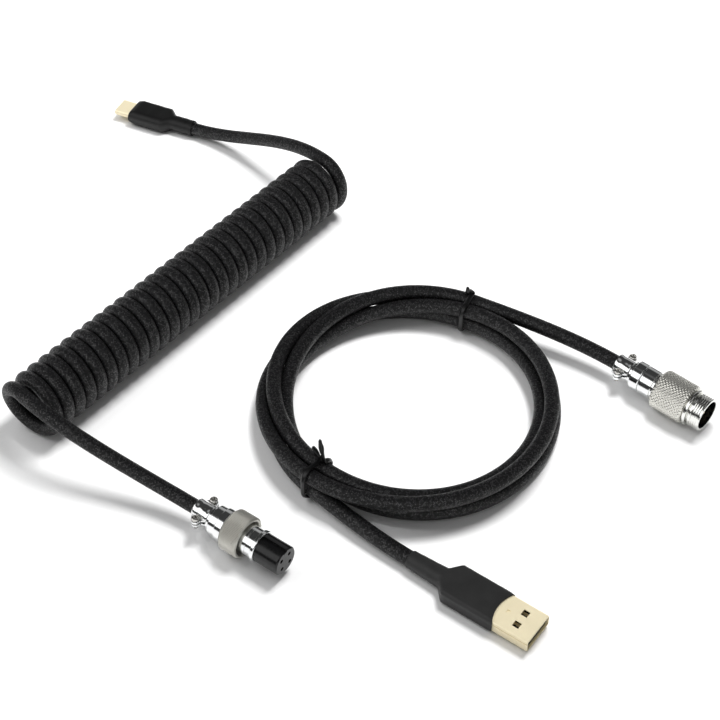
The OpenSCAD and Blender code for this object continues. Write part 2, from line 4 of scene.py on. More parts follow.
import bmesh
import bpy
import numpy as np
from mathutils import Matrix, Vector

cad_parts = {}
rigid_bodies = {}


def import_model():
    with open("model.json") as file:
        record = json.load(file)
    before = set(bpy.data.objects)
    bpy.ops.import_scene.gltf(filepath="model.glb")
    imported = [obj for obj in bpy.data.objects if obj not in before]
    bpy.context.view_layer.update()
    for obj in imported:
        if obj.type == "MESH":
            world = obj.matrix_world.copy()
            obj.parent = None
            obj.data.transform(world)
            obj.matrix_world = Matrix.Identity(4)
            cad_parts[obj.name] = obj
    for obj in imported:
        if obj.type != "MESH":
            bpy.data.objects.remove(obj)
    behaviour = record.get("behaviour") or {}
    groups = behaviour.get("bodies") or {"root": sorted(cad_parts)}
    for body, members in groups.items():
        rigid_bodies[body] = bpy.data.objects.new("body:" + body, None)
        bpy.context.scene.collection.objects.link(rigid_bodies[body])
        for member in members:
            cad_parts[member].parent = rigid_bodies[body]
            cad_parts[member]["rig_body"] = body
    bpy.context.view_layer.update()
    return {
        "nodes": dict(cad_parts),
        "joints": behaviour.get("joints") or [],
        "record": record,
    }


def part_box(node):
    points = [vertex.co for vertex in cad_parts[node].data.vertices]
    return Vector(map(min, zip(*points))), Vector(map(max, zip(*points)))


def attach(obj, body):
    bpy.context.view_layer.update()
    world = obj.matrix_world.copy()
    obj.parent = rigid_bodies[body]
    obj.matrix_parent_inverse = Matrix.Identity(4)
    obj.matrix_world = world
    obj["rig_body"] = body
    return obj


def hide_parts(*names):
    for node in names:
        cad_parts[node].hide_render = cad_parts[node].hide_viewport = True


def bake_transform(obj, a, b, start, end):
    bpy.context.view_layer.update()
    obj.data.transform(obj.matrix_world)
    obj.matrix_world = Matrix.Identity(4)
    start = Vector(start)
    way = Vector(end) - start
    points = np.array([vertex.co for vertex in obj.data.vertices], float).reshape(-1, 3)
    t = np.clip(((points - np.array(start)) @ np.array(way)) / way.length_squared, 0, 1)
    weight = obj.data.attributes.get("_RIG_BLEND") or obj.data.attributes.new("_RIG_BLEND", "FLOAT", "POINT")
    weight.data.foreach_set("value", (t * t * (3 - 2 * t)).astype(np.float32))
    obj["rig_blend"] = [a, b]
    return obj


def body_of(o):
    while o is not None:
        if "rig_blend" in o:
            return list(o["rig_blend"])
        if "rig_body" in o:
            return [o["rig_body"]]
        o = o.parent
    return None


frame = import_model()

record = frame["record"]
nodes = frame["nodes"]

MM = 0.001
TAU = 2 * math.pi

# Sizes in millimetres and degrees. Most follow the CAD source; the notes say which don't.
COIL_CORD_D, CORD_D = 4.75, 4.95
COIL_OD, COIL_PITCH, COIL_TURNS, COIL_END_GAP = 22.6, 4.85, 30, 1.2
LOOP_R, STRAND_GAP = 45.05, 5.15
LOOP_START, LOOP_END, LOOP_TURNS = 62.0, 226.0, 3
LOOP_X, LOOP_Y = 17.3, -34.6
SLEEVE_WALL, SLEEVE_FIT, TIE_D, TIE_FIT, TIE_LIFT = 0.45, 0.1, 1.2, 0.17, 0.07
COIL_R = (COIL_OD - COIL_CORD_D) / 2
CORD_R = CORD_D / 2
BUNDLE_R = STRAND_GAP / math.sqrt(2)
TIE_CORNER_R = CORD_R + TIE_FIT + TIE_D / 2
BUNDLE_Z = STRAND_GAP / 2 + TIE_CORNER_R + TIE_D / 2 + TIE_LIFT
GRIP_R, THREAD_R, NUT_X, NUT_L = 6.8, 5.9, 12.6, 6.8
KNURL_X, RING_X, NOSE_X, SOCKET_TIP = 16.1, 28.2, 29.4, 34.4
# The clamp screws stand 1.1 mm further back than in the CAD
SCREW_X, SCREW_Y = 2.4, 4.4
CLAMP_R = CORD_R + 0.12
USB_A_FACE, USB_A_TIP = 33.3, 45.05
USB_C_FACE, USB_C_TIP = 26.4, 33.05
# Half width, half height and corner radius of each USB shell
USB_A_SHELL, USB_C_SHELL = (6.0, 2.25, 0.7), (4.125, 1.2, 1.15)


# ---- places, read from the record ----

def mount(name):
    return next(m for m in record["mounts"] if m["name"] == name)


def joint(name):
    return next(j for j in frame["joints"] if j["name"] == name)


def axes_at(origin, axis):
    """A connector's frame in millimetres: x along its axis, z up."""
    x = np.array(axis, float)
    x /= np.linalg.norm(x)
    z = np.array([0.0, 0.0, 1.0])
    return np.array(origin, float), np.column_stack([x, np.cross(z, x), z])


def from_tip(name, tip):
    m = mount(name)
    x = np.array(m["axis"], float)
    return axes_at(np.array(m["pos_m"]) / MM - x / np.linalg.norm(x) * tip, x)


spin = joint("nut_spin")
PLUG = axes_at(np.array(spin["pos_m"]) / MM, spin["axis"])
SOCKET = from_tip("socket_mouth", SOCKET_TIP)
USB_A = from_tip("usb_a_plug", USB_A_TIP)
USB_C = from_tip("usb_c_plug", USB_C_TIP)

coil_axis = -np.array(joint("coil_stretch")["axis"], float)
coil_axis /= np.linalg.norm(coil_axis)
coil_left = np.cross([0, 0, 1], coil_axis)
coil_lo, coil_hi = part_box("coil_sleeve")
coil_length = COIL_PITCH * COIL_TURNS
coil_mid = np.array([(coil_lo.x + coil_hi.x) / 2, (coil_lo.y + coil_hi.y) / 2, 0]) / MM
coil_start = coil_mid - coil_axis * coil_length / 2
coil_start[2] = COIL_OD / 2
LOOP_CENTRE = np.array([LOOP_X, LOOP_Y, BUNDLE_Z])


def place(points, at):
    origin, turn = at
    return np.asarray(points, float) @ turn.T + origin


# ---- materials ----

class Nodes:
    """Builds a material's node tree in few words."""

    def __init__(self, name):
        self.mat = bpy.data.materials.new(name)
        self.mat.use_nodes = True
        self.tree = self.mat.node_tree
        self.tree.nodes.clear()
        self.out = self.add("ShaderNodeOutputMaterial")
        self.bsdf = self.add("ShaderNodeBsdfPrincipled")
        self.tree.links.new(self.bsdf.outputs[0], self.out.inputs["Surface"])

    def add(self, kind, **props):
        node = self.tree.nodes.new(kind)
        for key, value in props.items():
            setattr(node, key, value)
        return node

    def put(self, socket, value):
        if isinstance(value, bpy.types.NodeSocket):
            self.tree.links.new(value, socket)
        elif isinstance(value, (tuple, list)) and len(value) == 3 and socket.type == "RGBA":
            socket.default_value = (*value, 1)
        else:
            socket.default_value = value

    def math(self, op, a, b=0.0, c=0.0):
        node = self.add("ShaderNodeMath", operation=op)
        for socket, value in zip(node.inputs, (a, b, c)):
            self.put(socket, value)
        return node.outputs[0]

    def noise(self, vector, scale, detail=3.0, rough=0.55):
        node = self.add("ShaderNodeTexNoise")
        self.put(node.inputs["Vector"], vector)
        node.inputs["Scale"].default_value = scale
        node.inputs["Detail"].default_value = detail
        node.inputs["Roughness"].default_value = rough
        return node.outputs["Fac"]

    def scaled(self, vector, scale):
        node = self.add("ShaderNodeMapping")
        self.put(node.inputs["Vector"], vector)
        node.inputs["Scale"].default_value = scale
        return node.outputs[0]

    def between(self, value, low, high, to_low, to_high):
        node = self.add("ShaderNodeMapRange", clamp=True)
        for socket, v in zip(node.inputs, (value, low, high, to_low, to_high)):
            self.put(socket, v)
        return node.outputs[0]

    def mix(self, factor, a, b):
        node = self.add("ShaderNodeMix", data_type="RGBA")
        self.put(node.inputs[0], factor)
        self.put(node.inputs[6], a)
        self.put(node.inputs[7], b)
        return node.outputs[2]

    def place(self):
        return self.add("ShaderNodeTexCoord").outputs["Object"]

    def uv(self):
        node = self.add("ShaderNodeSeparateXYZ")
        self.put(node.inputs[0], self.add("ShaderNodeTexCoord").outputs["UV"])
        return node.outputs[0], node.outputs[1]

    def bump(self, height, distance, strength=1.0):
        node = self.add("ShaderNodeBump")
        self.put(node.inputs["Height"], height)
        node.inputs["Distance"].default_value = distance
        node.inputs["Strength"].default_value = strength
        self.put(self.bsdf.inputs["Normal"], node.outputs[0])

    def surface(self, **values):
        names = {"colour": "Base Color", "rough": "Roughness", "metal": "Metallic",
                 "spec": "Specular IOR Level"}
        for key, value in values.items():
            self.put(self.bsdf.inputs[names[key]], value)
        return self.mat


def braid_material():
    """Crossing strands of fine yarn. u runs round the cord in strands, v along it."""
    n = Nodes("braided_sleeve")
    u, v = n.uv()
    a, b = n.math("ADD", u, v), n.math("SUBTRACT", u, v)
    fa, fb = n.math("FRACT", a), n.math("FRACT", b)
    ia, ib = n.math("FLOOR", a), n.math("FLOOR", b)
    over = n.math("PINGPONG", n.math("ADD", ia, ib), 1.0)
    across = n.math("ADD", n.math("MULTIPLY", over, fa),
                    n.math("MULTIPLY", n.math("SUBTRACT", 1.0, over), fb))
    along = n.math("ADD", n.math("MULTIPLY", over, fb),
                   n.math("MULTIPLY", n.math("SUBTRACT", 1.0, over), fa))
    crown = n.math("SINE", n.math("MULTIPLY", across, math.pi))
    arch = n.math("SINE", n.math("MULTIPLY", along, math.pi))
    yarn = n.math("ABSOLUTE", n.math("SINE", n.math("MULTIPLY", across, 3 * math.pi)))
    height = n.math("ADD", n.math("MULTIPLY", crown, 0.55),
                    n.math("ADD", n.math("MULTIPLY", arch, 0.35),
                           n.math("MULTIPLY", yarn, 0.12)))
    cell = n.add("ShaderNodeCombineXYZ")
    n.put(cell.inputs[0], ia)
    n.put(cell.inputs[1], ib)
    n.put(cell.inputs[2], over)
    random = n.add("ShaderNodeTexWhiteNoise", noise_dimensions="3D")
    n.put(random.inputs["Vector"], cell.outputs[0])
    cloud = n.noise(n.place(), 420.0)
    # Random lighter yarns, lightened only on the strand crowns: a random tone with a painted glint; the same
    # mask makes them glossier
    fleck_and_glint = n.between(random.outputs["Value"], 0.4, 1.0, 0.0, 1.0)
    fleck_and_glint = n.math("MULTIPLY", fleck_and_glint, n.between(crown, 0.35, 1.0, 0.0, 1.0))
    # Painted shade: the braid's colour darkens where its relief is low, between the strands
    dark = n.mix(n.between(height, 0.25, 0.95, 0.0, 1.0),
                 (0.0008, 0.0008, 0.0009), (0.006, 0.006, 0.0064))
    dark = n.mix(n.math("MULTIPLY", cloud, 0.35), dark, (0.004, 0.0038, 0.004))
    colour = n.mix(n.math("MULTIPLY", fleck_and_glint, 0.6), dark, (0.024, 0.024, 0.025))
    n.bump(height, 0.00009, 0.7)
    return n.surface(colour=colour, rough=n.between(fleck_and_glint, 0.0, 1.0, 0.55, 0.3),
                     spec=n.between(fleck_and_glint, 0.0, 1.0, 0.25, 1.0))


def metal(name, colour, rough, scratch, grain=(900, 900, 900), tint=0.12, bump=0.000004,
          metallic=1.0):
    n = Nodes(name)
    where = n.place()
    fine = n.noise(n.scaled(where, grain), 1.0, 4.0, 0.6)
    broad = n.noise(where, 160.0)
    shade = tuple(c * (1 - tint) for c in colour)
    n.bump(fine, bump, 0.6)
    rough_map = n.math("ADD", n.between(fine, 0.3, 0.75, rough - scratch, rough + scratch),
                       n.between(broad, 0.35, 0.7, -0.02, 0.03))
    return n.surface(colour=n.mix(n.between(broad, 0.3, 0.7, 0.0, 1.0), colour, shade),
                     rough=rough_map, metal=metallic)


def plastic(name, colour, rough, grain, bump, light=1.5, spec=0.5):
    n = Nodes(name)
    where = n.place()
    fine = n.noise(where, grain, 4.0, 0.6)
    broad = n.noise(where, 220.0)
    pale = tuple(min(1.0, c * light) for c in colour)
    n.bump(fine, bump, 0.7)
    return n.surface(colour=n.mix(n.between(broad, 0.3, 0.72, 0.0, 1.0), colour, pale),
                     rough=n.between(fine, 0.3, 0.7, rough - 0.06, rough + 0.06),
                     spec=spec)


def wire_material():
    n = Nodes("wire_plastic")
    island = n.add("ShaderNodeNewGeometry").outputs["Random Per Island"]
    ramp = n.add("ShaderNodeValToRGB")
    ramp.color_ramp.interpolation = "CONSTANT"
    stops = [(0.0, (0.5, 0.02, 0.015, 1)), (0.25, (0.65, 0.64, 0.6, 1)),
             (0.5, (0.02, 0.22, 0.05, 1)), (0.75, (0.015, 0.015, 0.018, 1))]
    ramp.color_ramp.elements[0].color = stops[0][1]
    ramp.color_ramp.elements[1].position = stops[1][0]
    ramp.color_ramp.elements[1].color = stops[1][1]
    for position, colour in stops[2:]:
        ramp.color_ramp.elements.new(position).color = colour
    n.put(ramp.inputs[0], island)
    fine = n.noise(n.place(), 2500.0)
    n.bump(fine, 0.00001)
    return n.surface(colour=ramp.outputs[0], rough=n.between(fine, 0.3, 0.7, 0.35, 0.5))


def board_material():
    n = Nodes("circuit_board")
    brick = n.add("ShaderNodeTexBrick")
    n.put(brick.inputs["Vector"], n.place())
    n.put(brick.inputs["Color1"], (0.01, 0.09, 0.035))
    n.put(brick.inputs["Color2"], (0.015, 0.12, 0.05))
    n.put(brick.inputs["Mortar"], (0.35, 0.25, 0.08))
    brick.inputs["Scale"].default_value = 900.0
    brick.inputs["Mortar Size"].default_value = 0.03
    n.bump(brick.outputs["Fac"], 0.00002)
    return n.surface(colour=brick.outputs["Color"], rough=0.38)


MATERIALS = {
    "braided_sleeve": braid_material(),
    "cable_jacket": plastic("cable_jacket", (0.012, 0.012, 0.013), 0.5, 1800.0, 0.00002),
    "heat_shrink": plastic("heat_shrink", (0.0145, 0.0145, 0.0145), 0.5, 1500.0, 0.000008,
                           light=1.3, spec=0.35),
    "soft_black_shrink": plastic("soft_black_shrink", (0.004, 0.004, 0.004), 0.42, 1500.0,
                                 0.000008, light=1.4, spec=0.3),
    "chrome_metal": metal("chrome_metal", (0.82, 0.83, 0.83), 0.1, 0.03,
                          (900, 900, 900), 0.04, 0.0000004),
    "polished_nickel": metal("polished_nickel", (0.78, 0.78, 0.75), 0.16, 0.03,
                             (1100, 1100, 1100), 0.05, 0.0000006),
    "bright_nickel": metal("bright_nickel", (0.7, 0.69, 0.64), 0.24, 0.04,
                           (1400, 1400, 1400), 0.08, 0.000001, 0.9),
    "satin_nickel": metal("satin_nickel", (0.53, 0.52, 0.475), 0.36, 0.09,
                          (1400, 1400, 1400), 0.14, 0.000003, 0.82),
    "steel_screw": metal("steel_screw", (0.62, 0.61, 0.58), 0.22, 0.07),
    "gold_plate": metal("gold_plate", (0.93, 0.83, 0.58), 0.34, 0.05,
                        (1200, 1200, 1200), 0.05, 0.0000008, 0.4),
    "contact_brass": metal("contact_brass", (0.8, 0.6, 0.27), 0.24, 0.06),
    "black_plastic": plastic("black_plastic", (0.003, 0.003, 0.0032), 0.22, 1200.0,
                             0.000001, spec=0.32),
    "housing_plastic": plastic("housing_plastic", (0.05, 0.05, 0.053), 0.42, 1400.0,
                               0.00003),
    "circuit_board": board_material(),
    "wire_plastic": wire_material(),
    "tie_plastic": plastic("tie_plastic", (0.0015, 0.0015, 0.0016), 0.34, 1600.0, 0.000006,
                           spec=0.4),
}


# ---- mesh tools ----

def finish_piece(obj, body, slot, replaced, smooth=38.0, look=None):
    """Gives a piece its material and body. slot names its material, and look, when given, names another
    material to show instead.
    """
    mesh = obj.data
    mesh.materials.clear()
    mesh.materials.append(MATERIALS[look or slot])
    mesh.shade_smooth()
    mesh.set_sharp_from_angle(angle=math.radians(smooth))
    if body:
        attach(obj, body)
    if replaced:
        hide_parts(*replaced)
    return obj


def new_object(name, points, faces, uv=None):
    """points in millimetres, faces as rows of indices, uv one pair per face corner."""
    mesh = bpy.data.meshes.new(name)
    mesh.from_pydata((np.asarray(points) * MM).tolist(), [], faces)
    if uv is not None:
        layer = mesh.uv_layers.new(name="UVMap")
        layer.data.foreach_set("uv", np.asarray(uv, np.float32).ravel())
    mesh.validate()
    bm = bmesh.new()
    bm.from_mesh(mesh)
    bmesh.ops.recalc_face_normals(bm, faces=bm.faces)
    bm.to_mesh(mesh)
    bm.free()
    obj = bpy.data.objects.new(name, mesh)
    bpy.context.scene.collection.objects.link(obj)
    return obj


def grid_faces(rows, columns, close_rows=False):
    """Quads of a grid of points that closes on itself across the columns."""
    last = rows if close_rows else rows - 1
    i, j = np.meshgrid(np.arange(last), np.arange(columns), indexing="ij")
    i2, j2 = (i + 1) % rows, (j + 1) % columns
    quad = [i * columns + j, i * columns + j2, i2 * columns + j2, i2 * columns + j]
    return np.stack(quad, -1).reshape(-1, 4).tolist()


def end_faces(rows, columns):
    """The two faces that close the first and the last ring of a grid."""
    return [list(range(columns)), [(rows - 1) * columns + k for k in reversed(range(columns))]]


def unit(v):
    v = np.asarray(v, float)
    return v / np.linalg.norm(v, axis=-1, keepdims=True)


def rings(path, ups, r, sides):
    """Rings of points round a path."""
    tangent = unit(np.gradient(path, axis=0))
    side = unit(np.cross(tangent, ups))
    over = np.cross(side, tangent)
    w = np.arange(sides) * TAU / sides
    spokes = (np.cos(w)[None, :, None] * side[:, None, :]
              + np.sin(w)[None, :, None] * over[:, None, :])
    return path[:, None, :] + spokes * r


def smoothstep(s):
    s = np.clip(s, 0, 1)
    return s * s * (3 - 2 * s)


def arc_lengths(path):
    return np.concatenate([[0.0], np.cumsum(np.linalg.norm(np.diff(path, axis=0), axis=1))])


# Strands round the braid, and the length of one along it
STRANDS = 22.0
STRAND_LENGTH = 0.62


def sleeve(name, path, ups, r_out, r_in, sides=24):
    """A braided tube round the path, with UVs that count its strands."""
    outer, inner = rings(path, ups, r_out, sides), rings(path, ups, r_in, sides)
    n = len(path)
    points = np.concatenate([outer, inner[::-1]]).reshape(-1, 3)
    along = arc_lengths(path) / STRAND_LENGTH
    v = np.concatenate([along, along[::-1]])
    i, j = np.meshgrid(np.arange(2 * n), np.arange(sides), indexing="ij")
    step = STRANDS / sides
    corners = [(j * step, v[i]), ((j + 1) * step, v[i]),
               ((j + 1) * step, v[(i + 1) % (2 * n)]), (j * step, v[(i + 1) % (2 * n)])]
    uv = np.stack([np.stack(c, -1) for c in corners], 2).reshape(-1, 2)
    return new_object(name, points, grid_faces(2 * n, sides, close_rows=True), uv)


def rod(name, path, ups, r, sides=12):
    """A solid rod along the path, closed by two end faces."""
    points = rings(path, ups, r, sides).reshape(-1, 3)
    n = len(path)
    return new_object(name, points, grid_faces(n, sides) + end_faces(n, sides))


def weigh(obj, weights):
    """One blend weight per ring of the sweep, in the order its points were made."""
    per_ring = len(obj.data.vertices) // len(weights)
    values = np.repeat(np.asarray(weights, np.float32), per_ring)
    obj.data.attributes["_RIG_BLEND"].data.foreach_set("value", values)


def cord(name, path, ups, r, bodies, weights, nodes_shown, sleeve_rings=None):
    """The braided sleeve and the cable in it. sleeve_rings cuts the sleeve short. With two
    bodies the cord bends from one to the other by the weights."""
    r_in = r - SLEEVE_WALL
    n = sleeve_rings or len(path)
    tube = sleeve(name + "_braid", path[:n], ups[:n], r, r_in)
    core = rod(name + "_cable", path, ups, r_in - SLEEVE_FIT / 2)
    rider = bodies[0] if len(bodies) == 1 else None
    finish_piece(tube, rider, "braided_sleeve", nodes_shown[:1], 60)
    finish_piece(core, rider, "cable_jacket", nodes_shown[1:], 60)
    if len(bodies) == 2:
        start, end = Vector(path[0] * MM), Vector(path[-1] * MM)
        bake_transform(tube, *bodies, start, end)
        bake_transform(core, *bodies, start, end)
        weigh(tube, np.concatenate([weights[:n], weights[:n][::-1]]))
        weigh(core, weights)


# ---- cords ----

def coil_path(t):
    """Points of the coil at turns t, the way out from its axis, and the length along it."""
    along = (COIL_PITCH * t - COIL_END_GAP * np.maximum(0, 1 - t) ** 2
             + COIL_END_GAP * np.maximum(0, t - COIL_TURNS + 1) ** 2)
    out = (np.cos(TAU * t)[:, None] * np.array([0, 0, 1.0])
           + np.sin(TAU * t)[:, None] * coil_left)
    return coil_start + along[:, None] * coil_axis + COIL_R * out, out, along


def coil_end(t):
    """The place and the heading of the cord at one end of the coil."""
    small = 0.001
    p, _, _ = coil_path(np.array([t - small, t, t + small]))
    return p[1], unit(p[2] - p[0])


# The strands of the loop change places as they go round: this much twist for each degree
LOOP_TWIST = 0.75
span = LOOP_END - LOOP_START
twist_total = LOOP_TWIST * (span + 360 * LOOP_TURNS)
twist_short = 270 - twist_total % 360
half_span_sine = math.sin(math.radians(span / 2))
twist_wave = twist_short / (2 * half_span_sine)


def twist_at(a):
    mid = (LOOP_START + LOOP_END) / 2
    wave = twist_wave * (np.sin(np.radians(a - mid)) + half_span_sine)
    return 45 + LOOP_TWIST * (a - LOOP_START) + wave


def strand(a):
    a = np.asarray(a, float)
    w = np.radians(twist_at(a))
    r = LOOP_R + BUNDLE_R * np.cos(w)
    return LOOP_CENTRE + np.stack([r * np.cos(np.radians(a)), r * np.sin(np.radians(a)),
                                   BUNDLE_R * np.sin(w)], -1)


def strand_end(a):
    return strand(a), unit(strand(a + 0.5) - strand(a - 0.5))


# Rings of a lead outside its connector and inside it
LEAD_RINGS, INSIDE_RINGS = 64, 14


def lead_path(p, t, at, inside):
    """A smooth curve from p, leaving along t, into a connector, then straight inside it."""
    origin, turn = at
    q, u = origin, turn[:, 0]
    pull = np.linalg.norm(q - p)
    s = np.linspace(0, 1, LEAD_RINGS)[:, None]
    curve = ((2 * s ** 3 - 3 * s ** 2 + 1) * p + (s ** 3 - 2 * s ** 2 + s) * pull * t
             + (3 * s ** 2 - 2 * s ** 3) * q + (s ** 3 - s ** 2) * pull * u)
    run = np.linspace(0, inside, INSIDE_RINGS + 1)[1:, None]
    return np.concatenate([curve, q + run * u])


def up_for(path):
    return np.tile([0.0, 0.0, 1.0], (len(path), 1))


def bend_weights(path):
    """0 at the cord's end of a lead, 1 inside the connector."""
    s = arc_lengths(path)
    return smoothstep((s / s[LEAD_RINGS - 1] - 0.06) / 0.84)


def lead(name, p, heading, at, r, sleeve_inside, core_inside, bodies):
    """The cord from p to a connector. The last sizes say how deep it goes in."""
    path = lead_path(p, heading, at, core_inside)
    depth = (path - at[0]) @ at[1][:, 0]
    last = LEAD_RINGS - 1
    n = int(np.searchsorted(depth[last:], sleeve_inside + 0.01)) + last
    cord(name, path, up_for(path), r, bodies, bend_weights(path),
         [name + "_sleeve", name + "_core"], n)


COIL_RINGS_PER_TURN, LOOP_RINGS = 40, 1000
coil_cord_r = COIL_CORD_D / 2
turns = np.linspace(0, COIL_TURNS, COIL_TURNS * COIL_RINGS_PER_TURN + 1)
coil_points, coil_outs, coil_run = coil_path(turns)
coil_weights = 1 - (coil_run - coil_run[0]) / (coil_run[-1] - coil_run[0])
cord("coil_cord", coil_points, coil_outs, coil_cord_r, ("coil", "plug_lead"), coil_weights,
     ["coil_sleeve", "coil_core"])
near_end, near_heading = coil_end(0)
far_end, far_heading = coil_end(COIL_TURNS)
lead("plug_lead", near_end, -near_heading, PLUG, coil_cord_r, 4.9, 7.6,
     ("plug_lead", "plug"))
lead("usb_c_lead", far_end, far_heading, USB_C, coil_cord_r, 11.4, 14.3, ("coil", "usb_c"))

loop_last = LOOP_END + 360 * LOOP_TURNS
loop_points = strand(np.linspace(LOOP_START, loop_last, LOOP_RINGS))
cord("loop_cord", loop_points, up_for(loop_points), CORD_R, ("loop",), None,
     ["loop_sleeve", "loop_core"])
first_end, first_heading = strand_end(LOOP_START)
last_end, last_heading = strand_end(loop_last)
lead("socket_lead", first_end, -first_heading, SOCKET, CORD_R, 4.9, 7.6,
     ("loop", "socket"))
lead("usb_a_lead", last_end, last_heading, USB_A, CORD_R, 14.6, 18.2, ("loop", "usb_a"))


# ---- turned parts ----

# An extra ring beside a rounded corner keeps the flat beyond it flat in its shading
HOLD = 0.1


def soften(profile, r, steps=3):
    """Rounds the corners of a closed profile of (x, radius) points."""
    p = np.asarray(profile, float)
    out = []
    for i in range(len(p)):
        before, here, after = p[i - 1], p[i], p[(i + 1) % len(p)]
        cut = min(r, 0.42 * np.linalg.norm(before - here),
                  0.42 * np.linalg.norm(after - here))
        back, on = unit(before - here), unit(after - here)
        a, b = here + back * cut, here + on * cut
        out.append(a + back * HOLD * cut)
        for k in range(steps + 1):
            s = k / steps
            out.append((1 - s) ** 2 * a + 2 * s * (1 - s) * here + s * s * b)
        out.append(b + on * HOLD * cut)
    return np.array(out)


def turned(name, profile, at, body, slot, replaced, sides=96, r=0.1, relief=None,
           smooth=38.0, look=None):
    """Turns a closed profile round the connector's x axis. relief(x, radius, w) gives the
    radius again, with a knurl or a thread in it."""
    p = soften(profile, r) if r else np.asarray(profile, float)
    w = np.arange(sides) * TAU / sides
    x = np.repeat(p[:, :1], sides, 1)
    radius = np.repeat(p[:, 1:], sides, 1)
    if relief:
        radius = relief(x, radius, w[None, :])
    points = np.stack([x, radius * np.cos(w), radius * np.sin(w)], -1)
    points = place(points.reshape(-1, 3), at)
    obj = new_object(name, points, grid_faces(len(p), sides, close_rows=True))
    return finish_piece(obj, body, slot, replaced, smooth, look)


def filled(x0, x1, r, step):
    """A line of profile points from x0 to x1 at radius r."""
    count = max(2, int(round((x1 - x0) / step)) + 1)
    return [(x, r) for x in np.linspace(x0, x1, count)]


def zigzag(v):
    """0 at whole numbers, 1 half way between."""
    return 1 - np.abs(2 * (v - np.floor(v)) - 1)


def diamond_knurl(count, pitch, depth, r_top):
    """Two crossing sets of grooves, count of each round the part."""
    def relief(x, radius, w):
        a = zigzag(count * w / TAU + x / pitch)
        b = zigzag(count * w / TAU - x / pitch)
        cut = depth * (1 - np.minimum(1.0, 1.7 * np.minimum(a, b)))
        return np.where(radius > r_top - 0.42, radius - cut, radius)
    return relief


def straight_knurl(count, depth, r_top):
    """Grooves along the part, count of them round it."""
    def relief(x, radius, w):
        cut = depth * (1 - np.minimum(1.0, 1.6 * zigzag(count * w / TAU)))
        return np.where(radius > r_top - 0.3, radius - cut, radius)
    return relief


def thread(pitch, depth, r_top, x0, x1):
    """A screw thread that fades out at both ends."""
    def relief(x, radius, w):
        fade = np.clip((x - x0) / 0.5, 0, 1) * np.clip((x1 - x) / 0.35, 0, 1)
        cut = depth * (1 - zigzag(x / pitch + w / TAU)) * fade
        return np.where(radius > r_top - 0.3, radius - cut, radius)
    return relief


# ---- clamps and screws ----

def strap(name, at, x0, x1, side, flare):
    """A sheet-metal saddle over the cord with an ear at each side. side is 1 above, -1
    below, and flare is how far the rear edge of the saddle opens."""
    half = 0.45
    arch = CLAMP_R + half
    base = 0.25 + half
    ear_end, fillet, side_points = 5.75, 0.65, 13
    start = math.asin((base + fillet) / (arch + fillet))
    fillet_y = (arch + fillet) * math.cos(start)

    # The middle of the sheet, across the cord: ear, fillet, arch, fillet, ear
    outline = [(y, base) for y in np.linspace(ear_end, fillet_y, 7)[:-1]]
    for a in np.linspace(-90, math.degrees(start) - 180, 7)[:-1]:
        outline.append((fillet_y + fillet * math.cos(math.radians(a)),
                        base + fillet + fillet * math.sin(math.radians(a))))
    for a in np.linspace(start, math.pi - start, 25):
        outline.append((arch * math.cos(a), arch * math.sin(a)))
    outline += [(-y, z) for y, z in reversed(outline[:side_points])]
    line = np.array(outline)
    tangent = unit(np.gradient(line, axis=0))
    normal = np.stack([-tangent[:, 1], tangent[:, 0]], -1)
    normal *= np.sign((normal * line).sum(1).mean() or 1)

    # How wide the sheet is along the cord, wider over the arch than at the round ears
    middle, wide = (x0 + x1) / 2, (x1 - x0) / 2
    across = np.abs(line[:, 0])
    ear, ear_start = 1.6, 3.2
    to_ear = np.clip((across - ear_start) / 0.5, 0, 1)
    past = np.clip(across - (ear_end - ear), 0, ear) / ear
    tip = np.sqrt(np.clip(1 - past ** 2, 0.02, 1))
    reach = np.where(across < ear_start, wide, wide + (ear - wide) * to_ear) * tip
    centre = np.where(across < ear_start, middle, middle + (SCREW_X - middle) * to_ear)
    crown = np.clip(1 - across / 3.3, 0, 1) ** 0.5

    steps = np.array([-1, -0.97, -0.86, -0.6, -0.3, 0, 0.3, 0.6, 0.86, 0.97, 1.0])
    rows_out = []
    for sheet in (1, -1):
        for s in steps[::sheet]:
            edge = np.clip((abs(s) - 0.85) / 0.15, 0, 1)
            thick = half * (1 - 0.55 * edge ** 2)
            lift = flare * max(0.0, -s - 0.45) ** 1.5 * crown
            rib = 0.14 * math.exp(-((s - 0.05) / 0.28) ** 2) * crown
            off = lift + rib + (thick if sheet > 0 else -thick)
            yz = line + normal * off[:, None]
            rows_out.append(np.column_stack([centre + reach * s, yz[:, 0], side * yz[:, 1]]))
    grid = np.array(rows_out)
    rows, columns = grid.shape[:2]
    faces = []
    for i in range(rows):
        k = (i + 1) % rows
        for j in range(columns - 1):
            faces.append([i * columns + j, i * columns + j + 1,
                          k * columns + j + 1, k * columns + j])
    caps = [list(range(0, rows * columns, columns)),
            list(range(columns - 1, rows * columns, columns))[::-1]]
    return new_object(name, place(grid.reshape(-1, 3), at), faces + caps)


def soft_edges(obj, width, angle, segments=2):
    """Rounds the edges sharper than angle."""
    m = obj.modifiers.new("soft_edges", "BEVEL")
    m.width = width * MM
    m.segments = segments
    m.limit_method = "ANGLE"
    m.angle_limit = math.radians(angle)
    m.harden_normals = True


def refined(node, slot, bevel=0.05, segments=2):
    """A copy of a CAD node with its edges rounded and its curves smooth."""
    source = nodes[node]
    body = body_of(source)[0]
    mesh = source.data.copy()
    bm = bmesh.new()
    bm.from_mesh(mesh)
    bmesh.ops.remove_doubles(bm, verts=bm.verts, dist=0.002 * MM)
    bmesh.ops.dissolve_limit(bm, angle_limit=math.radians(0.6), verts=bm.verts,
                             edges=bm.edges)
    bmesh.ops.recalc_face_normals(bm, faces=bm.faces)
    bm.to_mesh(mesh)
    bm.free()
    obj = bpy.data.objects.new(node + "_part", mesh)
    bpy.context.scene.collection.objects.link(obj)
    finish_piece(obj, body, slot, [node], 32)
    if bevel:
        soft_edges(obj, bevel, 40, segments)


